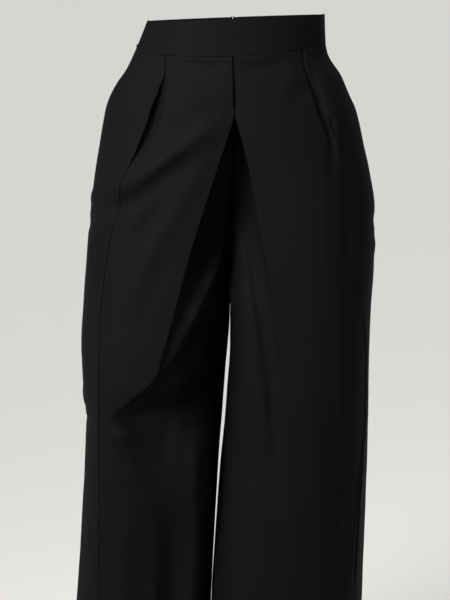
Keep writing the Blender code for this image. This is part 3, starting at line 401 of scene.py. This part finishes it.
def fold_shift(fold, places, facings, cloth_points):
    """How far a fold moves each of these points of the cloth."""
    nearest = np.full(len(cloth_points), np.inf)
    weight = np.zeros(len(cloth_points))
    direction = np.zeros((len(cloth_points), 3))
    last = len(places) - 1
    for k in range(last):
        along = places[k + 1] - places[k]
        reach = cloth_points - places[k]
        part = np.clip(reach @ along / max(along @ along, 1e-12), 0, 1)
        offset = reach - part[:, None] * along
        distance = np.linalg.norm(offset, axis=1)
        upper = np.cross(facings[k], along)
        if upper @ UPPER_SIDE < 0:
            upper = -upper
        width = np.where(offset @ upper > 0, fold.above, fold.below)
        share = (k + part) / last
        ends = soft_step(share / FOLD_END) * soft_step((1 - share) / FOLD_END)
        crest = np.cos(np.pi / 2 * np.clip(distance / width, 0, 1)) ** 2
        closer = distance < nearest
        nearest = np.where(closer, distance, nearest)
        weight = np.where(closer, ends * crest, weight)
        direction[closer] = facings[k]
    return fold.height * weight[:, None] * direction


def from_waist_seam(cloth):
    """Each point's distance from the waist seam, or a long one where the seam is far off."""
    faces_on_edge = {}
    for face in cloth.data.polygons:
        for key in face.edge_keys:
            faces_on_edge[key] = faces_on_edge.get(key, 0) + 1
    top = {i for key, faces in faces_on_edge.items() if faces == 1 for i in key
           if cloth.data.vertices[i].co.z > WAIST_REGION / 2}
    seam = KDTree(len(top))
    for i in top:
        seam.insert(cloth.data.vertices[i].co, i)
    seam.balance()
    return np.array([seam.find(vertex.co)[2] if vertex.co.z > WAIST_REGION else 1.0
                     for vertex in cloth.data.vertices])


def lay_folds(cloths):
    """Lays the folds into all four panels at once, so that they run on across the seams."""
    views = ((FRONT_FOLDS, Vector((1, 0, 0)), Vector((0, 0.5, 0))),
             (BACK_FOLDS, Vector((1, 0, 0)), Vector((0, -0.5, 0))),
             (RIGHT_SIDE_FOLDS, Vector((0, 1, 0)), Vector((0.5, 0, 0))),
             (LEFT_SIDE_FOLDS, Vector((0, 1, 0)), Vector((-0.5, 0, 0))))
    lines = [(fold, *laid_line(cloths, fold.points, across, looking))
             for folds, across, looking in views for fold in folds]
    for cloth in cloths:
        count = len(cloth.data.vertices)
        points = np.empty(count * 3)
        cloth.data.vertices.foreach_get("co", points)
        points = points.reshape(-1, 3)
        shift = np.zeros((count, 3))
        for fold, places, facings in lines:
            reach = max(fold.above, fold.below)
            near = np.all((points > places.min(0) - reach) & (points < places.max(0) + reach),
                          axis=1)
            shift[near] += fold_shift(fold, places, facings, points[near])
        normals = np.array([tuple(item.vector) for item in cloth.data.vertex_normals])
        wear = np.array([noise.noise(Vector(point) / WEAR_SIZE) for point in points])
        shift += WEAR * wear[:, None] * normals
        points += shift * soft_step(from_waist_seam(cloth) / WAIST_FADE)[:, None]
        cloth.data.vertices.foreach_set("co", points.ravel())
        cloth.data.update()


# How a raw edge is turned in: rings of (depth under the cloth, distance beyond the edge).
TUCKED_UNDER = ((0.0004, 0.0001), (0.0022, 0.0001), (0.0023, 0.004), (0.0023, 0.008))
FOLDED_BACK = ((0.0004, 0.0001), (0.0020, 0.0000), (0.0020, -0.004), (0.0020, -0.009))
INTO_WAISTBAND = ((0.0006, 0.0002), (0.0026, 0.0004), (0.0028, 0.005), (0.0028, 0.010))
TURNED_UP_HEM = ((0.0004, 0.0000), (0.0021, 0.0000), (0.0024, -0.020), (0.0029, -0.040))
CROTCH_HEIGHT = -0.310
ZIP_FOOT = -0.160
CENTRE_REACH = 0.03           # the centre seams lie within this distance of the middle
HEM_REGION, FACES_DOWN = -0.9, -0.7     # a hem's edge is below the one and faces past the other
TOP_REGION, FACES_UP = -0.045, 0.6      # and a panel's top edge is above and past these
WAIST_WIDTH, WAIST_DEPTH = 0.130, 0.092


def seam_rings(node, place, out):
    """The rings for one point of a panel's edge. The fronts' allowances go under the backs'."""
    at_centre = abs(place.x) < CENTRE_REACH and place.z > CROTCH_HEIGHT
    if out.z < FACES_DOWN and place.z < HEM_REGION:
        return TURNED_UP_HEM
    if node == "front_left" and at_centre:
        return FOLDED_BACK
    if node == "back_right" and at_centre and place.z < ZIP_FOOT:
        return TUCKED_UNDER
    return TUCKED_UNDER if node.startswith("front") else FOLDED_BACK


def turn_in(sheet, node):
    """Turns the sheet's edges in as seam allowances, a hem, and a top that goes up the waistband."""
    mesh = bmesh.new()
    mesh.from_mesh(sheet.data)
    mesh.normal_update()
    rim, outward = [], {}
    for edge in mesh.edges:
        if edge.is_boundary:
            loop = edge.link_loops[0]
            start, end = loop.vert, loop.link_loop_next.vert
            out = (end.co - start.co).cross(loop.face.normal).normalized()
            rim.append((start, end))
            outward[start] = outward.get(start, Vector()) + out
            outward[end] = outward.get(end, Vector()) + out
    rings = {}
    for vert, out in outward.items():
        out = out.normalized()
        inward = -vert.normal
        offsets = seam_rings(node, vert.co, out)
        if out.z > FACES_UP and vert.co.z > TOP_REGION:
            offsets = INTO_WAISTBAND
            out = Vector((0, 0, 1))
            inward = -Vector((vert.co.x / WAIST_WIDTH ** 2, vert.co.y / WAIST_DEPTH ** 2, 0))
            inward.normalize()
        rings[vert] = [vert] + [mesh.verts.new(vert.co + inward * depth + out * beyond)
                                for depth, beyond in offsets]
    for start, end in rim:
        for k in range(len(rings[start]) - 1):
            mesh.faces.new((rings[end][k], rings[start][k], rings[start][k + 1],
                            rings[end][k + 1]))
    mesh.to_mesh(sheet.data)
    mesh.free()


Panel = namedtuple("Panel", "seed levels flat area")
PANELS = {
    "front_right": Panel((-0.15, -0.2, -0.75), 2, (0.46, 1.09), 0.43),
    "front_left": Panel((0.12, -0.2, -0.75), 2, (0.35, 1.09), 0.32),
    "back_right": Panel((-0.15, 0.2, -0.75), 3, (0.37, 1.10), 0.34),
    "back_left": Panel((0.1, 0.2, -0.75), 3, (0.47, 1.10), 0.44),
}

leg_cloth = {}
for node, panel in PANELS.items():
    leg_cloth[node] = outer_sheet(node, node + "_cloth", panel.seed)
    finer(leg_cloth[node], panel.levels)
lay_folds(list(leg_cloth.values()))
for node, cloth in leg_cloth.items():
    turn_in(cloth, node)
    thicken(cloth, CREPE)
    cloth.data.materials.clear()
    cloth.data.materials.append(crepe)
    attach(cloth, "garment")
    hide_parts(node)

# ---- Waistband ---------------------------------------------------------------------------------
# A contoured band in the same crepe, doubled and stiffened: one front from side seam to side
# seam, and two backs that end at the zip. Its edges are turned in, so all of them are rounded.

BAND_WALL = 0.0022            # both layers with the stiffener between them
BAND_ROUND = 0.0006           # rounding of the turned edges
Band = namedtuple("Band", "seed flat")
BANDS = {
    "waistband_front": Band((0, -0.2, 0), (0.38, 0.060)),
    "waistband_back_right": Band((-0.07, 0.2, 0), (0.175, 0.060)),
    "waistband_back_left": Band((0.07, 0.2, 0), (0.19, 0.060)),
}

for node, cut in BANDS.items():
    band = outer_sheet(node, node + "_cloth", cut.seed)
    finer(band, 3)
    thicken(band, BAND_WALL)
    rounding = band.modifiers.new("Rounding", "BEVEL")
    rounding.width = BAND_ROUND
    rounding.segments = 2
    rounding.angle_limit = math.radians(50)
    bpy.context.view_layer.objects.active = band
    bpy.ops.object.modifier_apply(modifier=rounding.name)
    band.data.shade_smooth()
    band.data.materials.clear()
    band.data.materials.append(crepe)
    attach(band, "garment")
    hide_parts(node)

# ---- Zip tapes and teeth -----------------------------------------------------------------------
# Two woven tapes sewn inside the centre back edges. A nylon coil runs along each tape's inner
# edge on the inside, and the two coils lie closed into each other.

TOOTH = (0.0016, 0.0011, 0.0006)
TOOTH_PITCH = 0.0013
COIL_BOTTOM = -0.144
COIL_INSIDE = 0.0007          # the teeth's middle, inwards from the tape
TOOTH_ROUND = 0.00022
COIL_OVERLAP = 0.0001         # how far each coil reaches past its tape's edge

tape_weave = bpy.data.materials.new("woven_zip_tape")
tape_weave.use_nodes = True
weave_nodes, weave_links = tape_weave.node_tree.nodes, tape_weave.node_tree.links
weave_shader = weave_nodes["Principled BSDF"]
weave_shader.inputs["Base Color"].default_value = (0.0075, 0.0073, 0.0080, 1)
weave_shader.inputs["Roughness"].default_value = 0.75
weave_shader.inputs["Specular IOR Level"].default_value = 0.1
weave_place = weave_nodes.new("ShaderNodeTexCoord")
weave_ribs = weave_nodes.new("ShaderNodeTexWave")
weave_ribs.bands_direction = "DIAGONAL"
weave_ribs.inputs["Scale"].default_value = 420
weave_links.new(weave_place.outputs["Object"], weave_ribs.inputs["Vector"])
weave_bump = weave_nodes.new("ShaderNodeBump")
weave_bump.inputs["Strength"].default_value = 0.5
weave_bump.inputs["Distance"].default_value = 0.0002
weave_links.new(weave_ribs.outputs["Fac"], weave_bump.inputs["Height"])
weave_links.new(weave_bump.outputs["Normal"], weave_shader.inputs["Normal"])

nylon = bpy.data.materials.new("black_nylon_teeth")
nylon.use_nodes = True
nylon_shader = nylon.node_tree.nodes["Principled BSDF"]
nylon_shader.inputs["Base Color"].default_value = (0.009, 0.009, 0.010, 1)
nylon_shader.inputs["Roughness"].default_value = 0.35

bpy.ops.object.select_all(action="DESELECT")
bpy.ops.mesh.primitive_cube_add(size=1)
tooth = bpy.context.object
tooth.scale = TOOTH
bpy.ops.object.transform_apply(location=False, rotation=False, scale=True)
tooth_rounding = tooth.modifiers.new("Rounding", "BEVEL")
tooth_rounding.width = TOOTH_ROUND
tooth_rounding.segments = 1
bpy.ops.object.modifier_apply(modifier=tooth_rounding.name)

slider_low, slider_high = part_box("zip_slider")
for tape_node, side in (("zip_tape_right", -1), ("zip_tape_left", 1)):
    tape = frame["nodes"][tape_node]
    tape.material_slots[0].material = tape_weave
    bpy.ops.object.select_all(action="DESELECT")
    height = COIL_BOTTOM + (TOOTH_PITCH / 2 if side > 0 else 0)
    teeth = []
    depth = 0.12
    while height < slider_low.z:
        edge = tape.closest_point_on_mesh(Vector((-side * 0.05, depth, height)))[1]
        depth = edge.y
        place = Vector((edge.x - side * COIL_OVERLAP, depth - COIL_INSIDE, height))
        copy = tooth.copy()
        copy.data = tooth.data.copy()
        copy.data.transform(Matrix.Translation(place))
        bpy.context.scene.collection.objects.link(copy)
        copy.select_set(True)
        teeth.append(copy)
        height += TOOTH_PITCH
    bpy.context.view_layer.objects.active = teeth[0]
    bpy.ops.object.join()
    coil = bpy.context.object
    coil.name = coil.data.name = tape_node.replace("tape", "teeth")
    coil.data.shade_smooth()
    coil.data.materials.append(nylon)
    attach(coil, "garment")
bpy.data.objects.remove(tooth)

# ---- Slider and pull tab -----------------------------------------------------------------------
# Black painted die-cast metal. The slider's body runs on the inside, its wire loop comes out
# through the slot, and the pull tab hangs from it outside.

enamel = bpy.data.materials.new("black_enamel")
enamel.use_nodes = True
enamel_nodes, enamel_links = enamel.node_tree.nodes, enamel.node_tree.links
enamel_shader = enamel_nodes["Principled BSDF"]
enamel_shader.inputs["Base Color"].default_value = (0.014, 0.014, 0.016, 1)
enamel_shader.inputs["Roughness"].default_value = 0.32
enamel_shader.inputs["Coat Weight"].default_value = 0.4
enamel_shader.inputs["Coat Roughness"].default_value = 0.2
enamel_place = enamel_nodes.new("ShaderNodeTexCoord")
enamel_grain = enamel_nodes.new("ShaderNodeTexNoise")
enamel_grain.inputs["Scale"].default_value = 900
enamel_links.new(enamel_place.outputs["Object"], enamel_grain.inputs["Vector"])
enamel_bump = enamel_nodes.new("ShaderNodeBump")
enamel_bump.inputs["Strength"].default_value = 0.2
enamel_bump.inputs["Distance"].default_value = 0.0001
enamel_links.new(enamel_grain.outputs["Fac"], enamel_bump.inputs["Height"])
enamel_links.new(enamel_bump.outputs["Normal"], enamel_shader.inputs["Normal"])

METAL_ROUND = 0.00018         # rounding of the metal's edges
for node, body in (("zip_slider", "garment"), ("zip_pull", "pull_tab")):
    bpy.ops.object.select_all(action="DESELECT")
    metal_piece = frame["nodes"][node].copy()
    metal_piece.data = frame["nodes"][node].data.copy()
    for key in list(metal_piece.keys()):
        del metal_piece[key]
    metal_piece.name = metal_piece.data.name = node + "_enamelled"
    metal_piece.parent = None
    bpy.context.scene.collection.objects.link(metal_piece)
    metal_piece.select_set(True)
    bpy.context.view_layer.objects.active = metal_piece
    bpy.ops.mesh.customdata_custom_splitnormals_clear()
    bpy.ops.object.mode_set(mode="EDIT")
    bpy.ops.mesh.select_all(action="SELECT")
    bpy.ops.mesh.remove_doubles(threshold=0.00001)
    bpy.ops.mesh.dissolve_limited(angle_limit=math.radians(2))
    bpy.ops.object.mode_set(mode="OBJECT")
    rounding = metal_piece.modifiers.new("Rounding", "BEVEL")
    rounding.width = METAL_ROUND
    rounding.segments = 2
    rounding.angle_limit = math.radians(50)
    bpy.ops.object.modifier_apply(modifier=rounding.name)
    bpy.ops.object.shade_smooth_by_angle(angle=math.radians(40))
    metal_piece.data.materials.clear()
    metal_piece.data.materials.append(enamel)
    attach(metal_piece, body)
    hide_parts(node)
